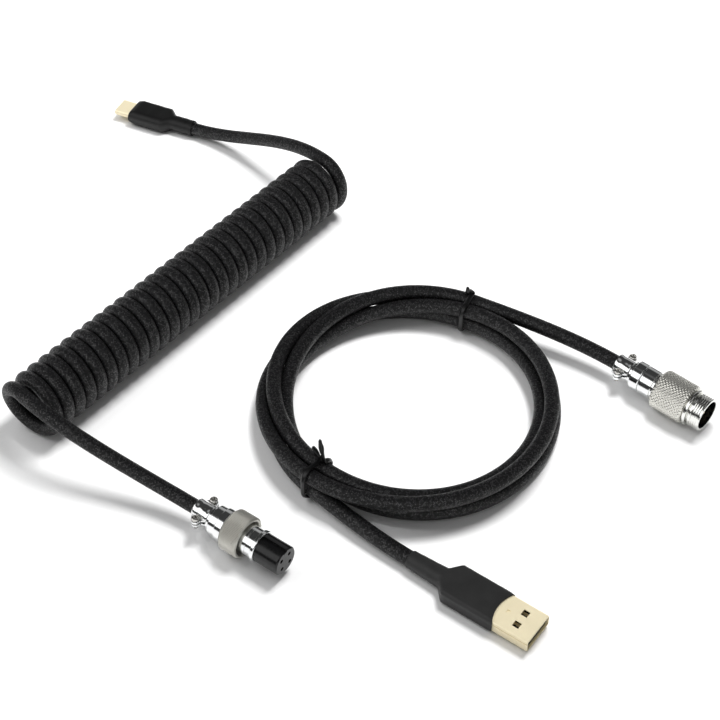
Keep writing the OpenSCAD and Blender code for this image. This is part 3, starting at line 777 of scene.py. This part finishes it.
def joined(parts, name):
    bpy.ops.object.select_all(action="DESELECT")
    for p in parts:
        p.select_set(True)
    bpy.context.view_layer.objects.active = parts[0]
    bpy.ops.object.join()
    parts[0].name = name
    parts[0].data.name = name
    return parts[0]


def paint_bore_shade(obj, at, x0, r):
    """Blackens the faces inside a socket, beyond x0 and within r of its axis, as painted shade in its bore.
    """
    mesh = obj.data
    mesh.materials.append(MATERIALS["black_plastic"])
    origin, turn = at
    for face in mesh.polygons:
        x, y, z = (np.array(face.center) / MM - origin) @ turn
        if x > x0 and math.hypot(y, z) < r:
            face.material_index = 1


def cord_clamp(prefix, at, shell_r, front):
    """Back shell with its lower saddle, upper saddle and screws. front is the outline of
    the shell's front end."""
    neck_r, bore_r = 4.1, 4.3
    # Both saddles start 1.6 mm further back than in the CAD
    lower = strap(prefix + "_saddle", at, -0.6, 6.0, -1, 0.9)
    upper = strap(prefix + "_clamp_bar_part", at, -0.3, 5.4, 1, 1.1)
    profile = [(5.7, CLAMP_R), (5.7, neck_r - 0.4), (5.9, neck_r), (6.9, neck_r),
               (7.0, shell_r - 0.15), (7.15, shell_r)]
    profile += front
    profile += [(front[-1][0], bore_r), (7.2, bore_r), (7.2, CLAMP_R)]
    shell = turned(prefix + "_shell_body", profile, at, None, "chrome_metal", [], r=0.12)
    lower.data.materials.append(MATERIALS["chrome_metal"])
    shell = joined([shell, lower], prefix + "_back_shell_part")
    finish_piece(shell, prefix, "chrome_metal", [prefix + "_back_shell"])
    finish_piece(upper, prefix, "chrome_metal", [prefix + "_clamp_bar"])
    screws = [screw(prefix + "_screw", at, y) for y in (-SCREW_Y, SCREW_Y)]
    pair = joined(screws, prefix + "_clamp_screws_part")
    finish_piece(pair, prefix, "steel_screw", [prefix + "_clamp_screws"])


def screw(name, at, y):
    """A pan-head screw that stands along z, with a cross cut in its head."""
    seat, head_r, shank_r, tip = 1.45, 1.3, 0.8, -2.6
    pitch, thread_top = 0.4, 0.2
    profile = [(0.0, tip), (shank_r - 0.25, tip), (shank_r, tip + 0.3)]
    z = tip + 0.3
    while z < thread_top:
        profile += [(shank_r - 0.13, z + pitch / 2), (shank_r, z + pitch)]
        z += pitch
    profile += [(shank_r, seat), (head_r - 0.1, seat), (head_r, seat + 0.15)]
    for k in range(1, 9):
        a = math.radians(90 * k / 8)
        profile.append((head_r * math.cos(a), seat + 0.25 + 0.65 * math.sin(a)))
    p = np.array(profile)
    sides = 48
    w = np.arange(sides) * TAU / sides
    radius = np.maximum(p[:, :1], 0.001)
    height = np.repeat(p[:, 1:], sides, 1)
    across_x, across_y = radius * np.cos(w), radius * np.sin(w)
    # The cross: half as wide as slot_half, as long as slot_reach
    slot_half, slot_reach, soft = 0.17, 0.85, 0.12
    near = np.minimum(np.abs(across_x), np.abs(across_y))
    far = np.maximum(np.abs(across_x), np.abs(across_y))
    dip = (np.clip((slot_half + 0.06 - near) / soft, 0, 1)
           * np.clip((slot_reach - far) / soft, 0, 1))
    height = np.where(height > seat + 0.3, height - 0.42 * dip, height)
    points = np.stack([across_x + SCREW_X, across_y + y, height], -1)
    return new_object(name, place(points.reshape(-1, 3), at), grid_faces(len(p), sides))


cord_clamp("plug", PLUG, 5.0, [(9.7, 5.0), (9.85, 5.45), (12.15, 5.45)])
cord_clamp("socket", SOCKET, 5.1, [(10.1, 5.1), (10.35, 4.85)])


# ---- screw-locking plug ----

turned("plug_barrel_part",
       [(9.6, 4.0), (9.6, 4.25), (12.2, 4.25), (12.2, 4.75), (20.9, 4.75), (21.0, 4.66),
        (21.25, 4.66), (21.35, 4.75), (23.6, 4.75), (23.6, 5.3), (24.55, 5.3), (24.8, 5.05),
        (24.8, 4.0)],
       PLUG, "plug", "chrome_metal", ["plug_barrel"], r=0.1)
nut_end = NUT_X + NUT_L
nut_bore = THREAD_R - 0.475


def nut_relief(x, radius, w):
    """A straight knurl outside and a thread of 1 mm pitch inside."""
    radius = straight_knurl(96, 0.16, GRIP_R)(x, radius, w)
    inside = (radius < nut_bore + 0.05) & (x > NUT_X + 2.6)
    groove = 0.3 * zigzag(x + w / TAU)
    return np.where(inside, radius + groove, radius)


nut_profile = ([(NUT_X, 4.82), (NUT_X, GRIP_R - 0.55), (NUT_X + 0.5, GRIP_R - 0.05)]
               + filled(NUT_X + 0.75, nut_end - 0.75, GRIP_R, 0.6)
               + [(nut_end - 0.5, GRIP_R - 0.05), (nut_end, GRIP_R - 0.55),
                  (nut_end, nut_bore + 0.5)]
               + filled(nut_end - 0.5, NUT_X + 1.85, nut_bore, 0.16)
               + [(NUT_X + 1.8, nut_bore), (NUT_X + 1.8, 4.82)])
turned("coupling_nut_part", nut_profile, PLUG, "nut", "satin_nickel", ["coupling_nut"],
       sides=480, r=0, relief=nut_relief, smooth=50)
refined("nut_snap_ring", "satin_nickel")
refined("plug_insert", "black_plastic", 0.12, segments=3)
refined("plug_contacts", "contact_brass", 0.04)
refined("plug_wires", "wire_plastic", 0)
refined("plug_grub_screw", "steel_screw", 0.04)


# ---- screw-locking socket ----

turned("socket_coupler_part",
       [(8.2, 3.65), (8.2, 4.25), (10.4, 4.25), (10.4, 4.75), (10.6, 5.0), (14.9, 5.0),
        (15.0, 4.72), (16.05, 4.72), (16.05, 4.25), (18.4, 4.25), (18.4, 3.65)],
       SOCKET, "socket", "chrome_metal", ["socket_coupler"], r=0.14)


def barrel_relief(x, radius, w):
    """A diamond knurl on the grip and a thread on the nose."""
    inside_knurl = (x > KNURL_X + 0.2) & (x < RING_X - 0.2)
    knurled = diamond_knurl(34, 1.25, 0.24, GRIP_R)(x, radius, w)
    nose = thread(0.75, 0.22, THREAD_R, NOSE_X + 1.2, SOCKET_TIP)(x, radius, w)
    return np.where(inside_knurl, knurled, np.where(x > NOSE_X + 1.1, nose, radius))


barrel_profile = ([(KNURL_X, 4.3), (KNURL_X, GRIP_R - 0.7), (KNURL_X + 0.7, GRIP_R - 0.05)]
                  + filled(KNURL_X + 0.85, RING_X - 0.85, GRIP_R, 0.2)
                  + [(RING_X - 0.7, GRIP_R - 0.05), (RING_X - 0.1, GRIP_R - 0.55),
                     (RING_X, GRIP_R - 0.8), (RING_X + 0.02, 5.45), (RING_X + 0.02, 4.8),
                     (25.6, 4.8), (25.6, 4.1), (18.1, 4.1), (18.1, 4.3)])
nose_profile = ([(RING_X + 0.03, 4.8), (RING_X + 0.03, 5.45), (RING_X + 0.38, 5.45),
                 (RING_X + 0.4, 6.3), (RING_X + 0.5, 6.4), (NOSE_X + 0.2, 6.4),
                 (NOSE_X + 0.3, 6.3), (NOSE_X + 0.32, THREAD_R - 0.75),
                 (NOSE_X + 0.95, THREAD_R - 0.75), (NOSE_X + 1.15, THREAD_R)]
                + filled(NOSE_X + 1.25, SOCKET_TIP - 0.25, THREAD_R, 0.11)
                + [(SOCKET_TIP - 0.05, THREAD_R - 0.12), (SOCKET_TIP, THREAD_R - 0.22),
                   (SOCKET_TIP, 4.95), (SOCKET_TIP - 0.12, 4.8)])
for name, profile, look in (("socket_barrel_part", barrel_profile, "bright_nickel"),
                            ("socket_nose_part", nose_profile, "polished_nickel")):
    barrel = turned(name, profile, SOCKET, "socket", "satin_nickel", ["socket_barrel"],
                    sides=460, r=0, relief=barrel_relief, smooth=50, look=look)
    paint_bore_shade(barrel, SOCKET, 25.0, 4.95)
refined("socket_insert", "black_plastic", 0.08)
refined("socket_pins", "gold_plate", 0.04)
refined("socket_wires", "wire_plastic", 0)
refined("socket_grub_screw", "steel_screw", 0.04)


# ---- boots and shells ----

def section(x, a, b, c, per=12):
    """A rounded rectangle across x, a and b its half sides, c its corner radius."""
    c = min(c, a, b)
    q = np.linspace(0, math.pi / 2, per)
    points = []
    for k, (sy, sz) in enumerate(((1, 1), (-1, 1), (-1, -1), (1, -1))):
        w = q + k * math.pi / 2
        points.append(np.stack([np.full(per, float(x)), sy * (a - c) + c * np.cos(w),
                                sz * (b - c) + c * np.sin(w)], -1))
    rows = []
    for k, arc in enumerate(points):
        following = points[(k + 1) % 4][0]
        f = np.linspace(0, 1, 10)[1:-1, None]
        rows += [arc, arc[-1] + f * (following - arc[-1])]
    return np.concatenate(rows)


def loft(name, sections, at, body, slot, replaced, smooth=40.0, look=None):
    grid = np.array(sections)
    rows, columns = grid.shape[:2]
    obj = new_object(name, place(grid.reshape(-1, 3), at),
                     grid_faces(rows, columns, close_rows=True))
    return finish_piece(obj, body, slot, replaced, smooth, look)


def boot(prefix, at, cord_r, neck, body_x, face_x, size, shell, wall, look, edge_r=None):
    """Heat-shrink: round on the cord, flat over the housing, gathered in at the shell.
    neck is its radius at the rear and the front and its length. edge_r is the radius of
    the arc its front edge follows."""
    neck_r0, neck_r1, neck_l = neck
    a, b, c = size
    shell_a, shell_b, shell_c = shell
    rows = []
    for x in (0.0, 0.08, 0.3):
        rows.append(section(x, *(3 * [neck_r0 - 0.22 + 0.22 * min(1, x / 0.3)])))
    for x in np.linspace(0.8, neck_l, 9):
        r = neck_r0 + (neck_r1 - neck_r0) * (x / neck_l) ** 1.3
        ripple = 0.03 * math.sin(x * 2.1) + 0.02 * math.sin(x * 5.3 + 1)
        flat = min(r, b) + ripple
        rows.append(section(x, r + ripple, flat, flat))
    for x in np.linspace(neck_l, body_x, 9)[1:]:
        s = smoothstep((x - neck_l) / (body_x - neck_l))
        s = 0.35 * s + 0.65 * (x - neck_l) / (body_x - neck_l)
        flat = min(neck_r1, b)
        rows.append(section(x, neck_r1 + (a - neck_r1) * s, flat + (b - flat) * s,
                            flat + (c - flat) * s))
    for x in np.linspace(body_x, face_x - 2.2, 14)[1:]:
        dent = 0.035 * math.sin(x * 1.1 + 0.6) + 0.02 * math.sin(x * 2.9)
        rows.append(section(x, a, b + dent - 0.03, c))
    for x, pull in ((face_x - 1.6, 0.08), (face_x - 1.0, 0.22), (face_x - 0.45, 0.36),
                    (face_x - 0.15, 0.45), (face_x, 0.62)):
        gather = max(0.0, b - shell_b - 0.35)
        rows.append(section(x, a - 0.16 * pull, b - gather * pull, c))
    rows.append(section(face_x, shell_a + 0.1, shell_b + 0.1, shell_c + 0.1))
    rows.append(section(face_x - 0.12, shell_a + 0.03, shell_b + 0.03, shell_c + 0.03))
    rows.append(section(face_x - 3.0, shell_a + 0.03, shell_b + 0.03, shell_c + 0.03))
    rows.append(section(face_x - 3.4, a - wall, b - wall, c - wall))
    rows.append(section(body_x + 0.3, a - wall, b - wall, c - wall))
    r = cord_r + 0.1
    rows.append(section(neck_l + 0.8, r, r, r))
    rows.append(section(0.0, r, r, r))
    grid = np.array(rows)
    if edge_r:
        # The front edge stands back in the middle by the recess, deeper than in the CAD
        recess, spread = 1.9, 6
        back = recess - (edge_r - np.sqrt(edge_r ** 2 - grid[:, :, 1] ** 2))
        weight = np.clip((grid[:, :, 0] - (face_x - spread)) / spread, 0, 1)
        grid[:, :, 0] -= np.clip(back, 0, 2) * weight
    loft(prefix + "_boot", grid, at, prefix, "heat_shrink", [prefix + "_heat_shrink"], 45,
         look)


boot("usb_a", USB_A, CORD_R, (2.85, 3.4, 11.9), 15.4, USB_A_FACE, (6.38, 3.1, 1.5),
     USB_A_SHELL, 0.3, "heat_shrink", edge_r=12.0)
boot("usb_c", USB_C, coil_cord_r, (3.05, 3.05, 9.0), 12.0, USB_C_FACE, (5.5, 3.15, 2.6),
     USB_C_SHELL, 0.6, "soft_black_shrink")


def cut(obj, boxes, at):
    """Cuts boxes given as (x0, x1, y0, y1, z0, z1) out of a mesh piece."""
    cutters = []
    for k, (x0, x1, y0, y1, z0, z1) in enumerate(boxes):
        corners = [(x, y, z) for x in (x0, x1) for y in (y0, y1) for z in (z0, z1)]
        faces = [(0, 1, 3, 2), (4, 6, 7, 5), (0, 4, 5, 1), (2, 3, 7, 6), (0, 2, 6, 4),
                 (1, 5, 7, 3)]
        cutters.append(new_object(f"cutter_{k}", place(corners, at), faces))
    cutter = joined(cutters, "cutter")
    m = obj.modifiers.new("cut", "BOOLEAN")
    m.operation = "DIFFERENCE"
    m.solver = "EXACT"
    m.object = cutter
    bpy.context.view_layer.update()
    evaluated = obj.evaluated_get(bpy.context.evaluated_depsgraph_get())
    mesh = bpy.data.meshes.new_from_object(evaluated)
    obj.modifiers.clear()
    obj.data = mesh
    bpy.data.objects.remove(cutter)


def shell_rows(x0, tip, size, wall, lead_in=0.3):
    """Sections of a hollow USB shell from x0 to its tip, with a rounded front edge."""
    a, b, c = size
    inner = max(0.2, c - wall)
    rows = [section(x0, a, b, c), section(tip - lead_in * 2, a, b, c)]
    for s in (0.35, 0.7, 0.9, 1.0):
        drop = lead_in * (1 - math.sqrt(max(0.0, 1 - s * s))) * 0.55
        rows.append(section(tip - lead_in * 2 * (1 - s), a - drop, b - drop, c - drop))
    rows += [section(tip, a - wall, b - wall, inner),
             section(tip - 0.08, a - wall - 0.01, b - wall - 0.01, inner),
             section(x0, a - wall, b - wall, inner)]
    return rows


usb_a_shell = loft("usb_a_shell_part", shell_rows(26.0, USB_A_TIP, USB_A_SHELL, 0.3),
                   USB_A, None, "gold_plate", [])
hole_x0, hole_x1, hole_y, hole_half = USB_A_TIP - 7, USB_A_TIP - 4.9, 2.35, 1.05
holes = [(hole_x0, hole_x1, y - hole_half, y + hole_half, z, z + 3)
         for y in (-hole_y, hole_y) for z in (1.0, -4.0)]
dimple = [(USB_A_FACE + 0.9, USB_A_FACE + 1.9, -0.55, 0.55, 1.98, 3.0)]
seam = [(25.0, 46.0, y0, y1, 0.95, 1.3) for y0, y1 in ((-6.2, -5.76), (5.76, 6.2))]
cut(usb_a_shell, holes + dimple + seam, USB_A)
finish_piece(usb_a_shell, "usb_a", "gold_plate", ["usb_a_shell"])
soft_edges(usb_a_shell, 0.06, 50)
refined("usb_a_tongue", "black_plastic", 0.06)
refined("usb_a_contacts", "gold_plate", 0.02)
refined("usb_a_wires", "wire_plastic", 0)
refined("usb_a_housing", "housing_plastic", 0.1)

loft("usb_c_shell_part", shell_rows(23.5, USB_C_TIP, USB_C_SHELL, 0.2), USB_C, "usb_c",
     "gold_plate", ["usb_c_shell"])
refined("usb_c_insert", "black_plastic", 0.04)
refined("usb_c_contacts", "gold_plate", 0)
refined("usb_c_board", "circuit_board", 0.03)
refined("usb_c_wires", "wire_plastic", 0)
refined("usb_c_housing", "housing_plastic", 0.1)


# ---- twist ties ----

def spline(points, per):
    """A smooth curve through the points, with per steps from each to the next."""
    p = np.asarray(points, float)
    p = np.concatenate([[2 * p[0] - p[1]], p, [2 * p[-1] - p[-2]]])
    out = []
    for i in range(1, len(p) - 2):
        for k in range(per):
            s = k / per
            out.append(0.5 * (2 * p[i] + (p[i + 1] - p[i - 1]) * s
                              + (2 * p[i - 1] - 5 * p[i] + 4 * p[i + 1] - p[i + 2]) * s ** 2
                              + (3 * p[i] - p[i - 1] - 3 * p[i + 1] + p[i + 2]) * s ** 3))
    out.append(p[-2])
    return np.array(out)


def tie(name, a, turn, ends, replaced):
    """A flat wire tie, once round the bundle at a degrees, with its two ends standing up.
    turn is the way it goes round and ends are where its ends lead, from the band."""
    skew = (twist_at(a) - 45) % 90
    base = 90 + (skew - 90 if skew > 45 else skew)
    arcs = []
    steps = 8
    total = 4 * (steps + 1)
    for m in range(total + 1):
        q, j = divmod(m, steps + 1)
        w = math.radians(base + turn * 90 * (q + j / steps))
        c = math.radians(base + turn * (90 * q + 45))
        arcs.append([BUNDLE_R * math.cos(c) + TIE_CORNER_R * math.cos(w),
                     0.75 * (1 - 2 * m / total),
                     BUNDLE_R * math.sin(c) + TIE_CORNER_R * math.sin(w)])
    arcs = np.array(arcs)
    first, last = np.array(ends[0]), np.array(ends[1])
    path = spline(np.concatenate([
        [arcs[0] + first, arcs[0] + first * 0.72 + [0.12, 0.1, 0], arcs[0] + first * 0.35],
        arcs,
        [arcs[-1] + last * 0.35, arcs[-1] + last * 0.72 + [-0.1, 0, 0.1],
         arcs[-1] + last]]), 4)
    tangent = unit(np.gradient(path, axis=0))
    along = arc_lengths(path)
    side = unit(np.array([0, 1.0, 0]) - tangent * tangent[:, 1:2])
    over = np.cross(tangent, side)
    # The ends are twisted, so the flat section turns there
    reach = np.linalg.norm(first) * 0.9, np.linalg.norm(last) * 0.9
    end_twist = 0.55 * (np.clip(reach[0] - along, 0, 9)
                        + np.clip(along - along[-1] + reach[1], 0, 9))
    ca, sa = np.cos(end_twist)[:, None], np.sin(end_twist)[:, None]
    side, over = ca * side + sa * over, ca * over - sa * side
    # The section is a flat strip with the wire as a ridge along its middle
    sides, wide, thin = 16, 0.86, 0.46
    w = np.arange(sides) * TAU / sides
    ridge = 0.14 * np.exp(-(np.cos(w) / 0.4) ** 2)
    taper = np.minimum(1, np.minimum(along, along[-1] - along) / 0.25 * 0.6 + 0.4)[:, None]
    rows = (path[:, None, :]
            + (taper * (wide * np.cos(w)))[:, :, None] * side[:, None, :]
            + (taper * ((thin + ridge) * np.sin(w)))[:, :, None] * over[:, None, :])
    angle = math.radians(a)
    turn_z = np.array([[math.cos(angle), -math.sin(angle), 0],
                       [math.sin(angle), math.cos(angle), 0], [0, 0, 1]])
    centre = LOOP_CENTRE + turn_z @ [LOOP_R, 0, 0]
    points = rows.reshape(-1, 3) @ turn_z.T + centre
    n = len(path)
    obj = new_object(name, points, grid_faces(n, sides) + end_faces(n, sides))
    finish_piece(obj, "loop", "tie_plastic", [replaced], 60)


# The front tie is 4 degrees further round than in the CAD, with longer ends
tie("front_tie", LOOP_END + 1, 1, ((-1.2, -2.8, 7.4), (0.4, -3.0, 4.0)), "loop_tie_front")
tie("rear_tie", LOOP_START + 3, -1, ((1.2, 0.4, 1.6), (0.8, -0.4, 1.0)), "loop_tie_rear")


# ---- floor, light and camera ----

def floor():
    """A matt white sheet, 1.8 m square, just under the part."""
    half = 0.9
    mesh = bpy.data.meshes.new("floor")
    mesh.from_pydata([(-half, -half, 0), (half, -half, 0), (half, half, 0), (-half, half, 0)],
                     [], [(0, 1, 2, 3)])
    n = Nodes("paper")
    grain = n.noise(n.place(), 900.0)
    n.bump(grain, 0.000002)
    n.surface(colour=n.mix(grain, (0.86, 0.86, 0.86), (0.9, 0.9, 0.9)), rough=0.9, spec=0.1)
    mesh.materials.append(n.mat)
    obj = bpy.data.objects.new("floor", mesh)
    obj.location.z = -0.00002
    bpy.context.scene.collection.objects.link(obj)


def area(name, at, size, power):
    """A square light that points at the part's middle and shows in no reflection."""
    light = bpy.data.lights.new(name, "AREA")
    light.shape = "RECTANGLE"
    light.size = light.size_y = size
    light.energy = power
    obj = bpy.data.objects.new(name, light)
    obj.location = at
    obj.rotation_euler = (-Vector(at)).to_track_quat("-Z", "Y").to_euler()
    obj.visible_glossy = False
    bpy.context.scene.collection.objects.link(obj)


def world():
    """Even white light; reflections see a softbox, dark walls and a pale rim instead."""
    w = bpy.data.worlds.new("studio")
    bpy.context.scene.world = w
    w.use_nodes = True
    tree = w.node_tree
    tree.nodes.clear()

    def add(kind, **props):
        node = tree.nodes.new(kind)
        for key, value in props.items():
            setattr(node, key, value)
        return node

    def put(socket, value):
        if isinstance(value, bpy.types.NodeSocket):
            tree.links.new(value, socket)
        else:
            socket.default_value = value

    def op(kind, a, b=0.0, c=0.0):
        node = add("ShaderNodeMath", operation=kind)
        for socket, value in zip(node.inputs, (a, b, c)):
            put(socket, value)
        return node.outputs[0]

    def step(value, low, high):
        node = add("ShaderNodeMapRange", interpolation_type="SMOOTHSTEP")
        for socket, v in zip(node.inputs, (value, low, high, 0.0, 1.0)):
            put(socket, v)
        return node.outputs[0]

    xyz = add("ShaderNodeSeparateXYZ")
    put(xyz.inputs[0], add("ShaderNodeTexCoord").outputs["Generated"])
    x, y, z = xyz.outputs
    elevation = op("ARCSINE", z)
    # A tall softbox over the viewer's left shoulder, from about 18 to 57 degrees up
    band = op("MULTIPLY", step(elevation, 0.3, 0.36), step(elevation, 1.03, 0.93))
    facing = op("ADD", op("MULTIPLY", x, -0.55), op("MULTIPLY", y, -0.83))
    key = op("MULTIPLY", band, step(facing, 0.05, 0.25))
    # A weaker strip behind and to the right
    back = op("MULTIPLY", op("MULTIPLY", step(elevation, 0.12, 0.2),
                             step(elevation, 0.62, 0.5)), step(facing, -0.35, -0.6))
    overhead = step(elevation, 1.2, 1.4)
    strips = op("ADD", op("MULTIPLY", key, 1.55),
                op("ADD", op("MULTIPLY", back, 0.35), op("MULTIPLY", overhead, 0.3)))
    seen = op("ADD", 0.045, strips)
    glossy = add("ShaderNodeLightPath").outputs["Is Glossy Ray"]
    strength = op("ADD", op("MULTIPLY", glossy, seen),
                  op("MULTIPLY", op("SUBTRACT", 1.0, glossy), 0.27))
    background = add("ShaderNodeBackground")
    put(background.inputs["Color"], (1, 1, 1, 1))
    put(background.inputs["Strength"], strength)
    put(add("ShaderNodeOutputWorld").inputs["Surface"], background.outputs[0])


floor()
world()
area("key_light", (0.22, 0.26, 0.76), 0.3, 8.2)
area("side_light", (-0.5, 0.1, 0.64), 0.5, 2.6)

# The camera looks along +y, 46.4 degrees down, from 0.54 m
CAMERA_DOWN, CAMERA_DISTANCE, CAMERA_SHIFT = math.radians(46.4), 0.54, -0.011
camera_data = bpy.data.cameras.new("camera")
camera_data.lens = 80
camera_data.sensor_width = 36
camera_data.clip_start = 0.01
camera = bpy.data.objects.new("camera", camera_data)
camera.location = (0, CAMERA_SHIFT - CAMERA_DISTANCE * math.cos(CAMERA_DOWN),
                   CAMERA_DISTANCE * math.sin(CAMERA_DOWN))
camera.rotation_euler = (math.pi / 2 - CAMERA_DOWN, 0, 0)
bpy.context.scene.collection.objects.link(camera)
bpy.context.scene.camera = camera
bpy.context.scene.view_settings.view_transform = "Standard"
